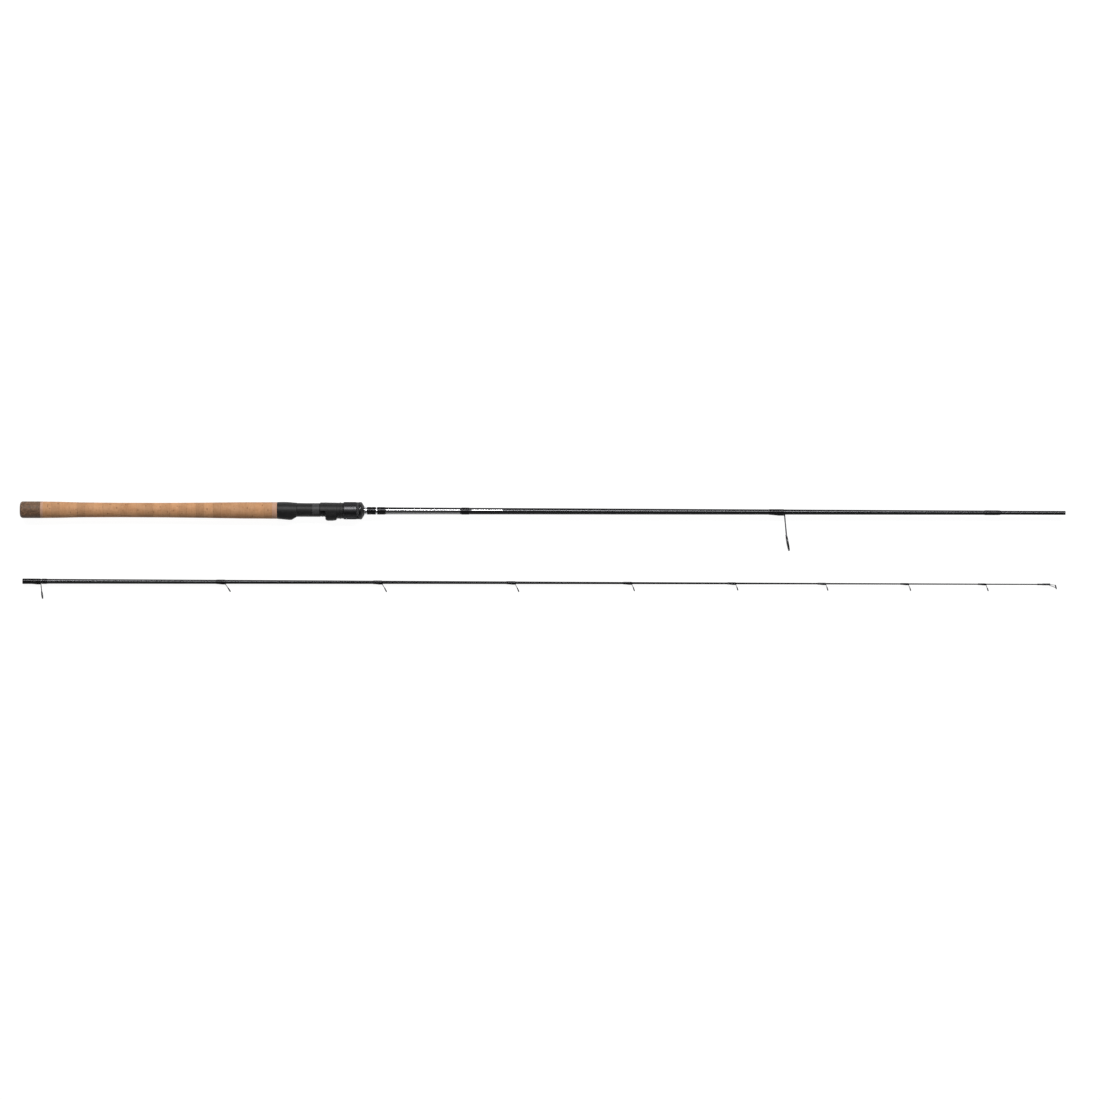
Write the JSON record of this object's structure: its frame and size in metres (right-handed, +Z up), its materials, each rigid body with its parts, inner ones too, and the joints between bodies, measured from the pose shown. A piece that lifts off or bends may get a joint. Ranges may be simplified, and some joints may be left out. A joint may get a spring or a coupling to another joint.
{
  "type": "spinning rod",
  "caption": "Two-section spinning rod lying apart: cork grip, screw-locking reel seat, slim tapered blank, spigot joint and ceramic-ringed guides.",
  "frame": {"origin": "middle of the footprint of the two sections as they lie side by side, on the surface they lie on", "axes": "+X along both sections from butt to tip, +Y from the tip section towards the butt section, +Z up; guides and reel seat openings face -Y"},
  "size_m": [1.578, 0.1481, 0.0269],
  "materials": {
    "blank": "clear-coated carbon, charcoal",
    "rubber": "matt moulded rubber",
    "burl_cork": "rubberised composite cork, dark brown speckle",
    "accent_cork": "pale sanded cork",
    "cork": "sanded natural cork with filled pits",
    "seat_black": "satin soft-touch black",
    "nut_black": "polished black",
    "seat_grey": "satin dark grey",
    "arbor": "wound fibre",
    "liner": "dull steel",
    "silver_trim": "bright anodised",
    "wrap": "black thread under epoxy varnish",
    "ceramic": "polished dark ceramic",
    "guide_metal": "black-coated steel"
  },
  "bodies": {
    "butt_section": {"butt_blank": "blank", "blank_plug": "rubber", "butt_cap": "burl_cork", "cap_accent_ring": "accent_cork", "cork_rings": "cork", "grip_front_ring": "accent_cork", "seat_body": "seat_black", "seat_arbors": "arbor", "seat_band": "seat_grey", "fixed_hood_liner": "liner", "seat_trim_ring": "silver_trim", "seat_front_flange": "seat_black", "winding_check": "silver_trim", "handle_wraps": "wrap", "silver_trim_ring": "silver_trim", "label_end_wrap": "wrap", "stripper_frame": "guide_metal", "stripper_ring": "ceramic", "stripper_wrap": "wrap", "butt_ferrule_wrap": "wrap"},
    "hood": {"sliding_hood": "seat_black", "sliding_hood_liner": "liner", "hood_collar": "nut_black"},
    "nut": {"lock_nut": "nut_black", "nut_grip_band": "rubber"},
    "tip_section": {"tip_blank": "blank", "tip_ferrule_wrap": "wrap", "tip_top_frame": "guide_metal", "tip_top_ring": "ceramic", "tip_top_wrap": "wrap", "guide_1_frame": "guide_metal", "guide_2_frame": "guide_metal", "guide_3_frame": "guide_metal", "guide_4_frame": "guide_metal", "guide_5_frame": "guide_metal", "guide_6_frame": "guide_metal", "guide_7_frame": "guide_metal", "guide_8_frame": "guide_metal", "guide_9_frame": "guide_metal", "guide_1_ring": "ceramic", "guide_2_ring": "ceramic", "guide_3_ring": "ceramic", "guide_4_ring": "ceramic", "guide_5_ring": "ceramic", "guide_6_ring": "ceramic", "guide_7_ring": "ceramic", "guide_8_ring": "ceramic", "guide_9_ring": "ceramic", "guide_1_wrap": "wrap", "guide_2_wrap": "wrap", "guide_3_wrap": "wrap", "guide_4_wrap": "wrap", "guide_5_wrap": "wrap", "guide_6_wrap": "wrap", "guide_7_wrap": "wrap", "guide_8_wrap": "wrap", "guide_9_wrap": "wrap"}
  },
  "joints": [
    {"name": "hood_slide", "type": "slide", "parent": "butt_section", "child": "hood", "axis": [-1, 0, 0], "range_m": [0, 0.018]},
    {"name": "nut_turn", "type": "hinge", "parent": "hood", "child": "nut", "pos_m": [-0.289, 0.06057, 0.01345], "axis": [-1, 0, 0], "range_deg": [0, 2946.5]},
    {"name": "tip_draw", "type": "slide", "parent": "butt_section", "child": "tip_section", "axis": [1, 0, 0], "range_m": [0, 1.4767]}
  ],
  "couplings": [
    {"joint": "nut_turn", "follows": "hood_slide", "rad_per_m": 2856}
  ]
}
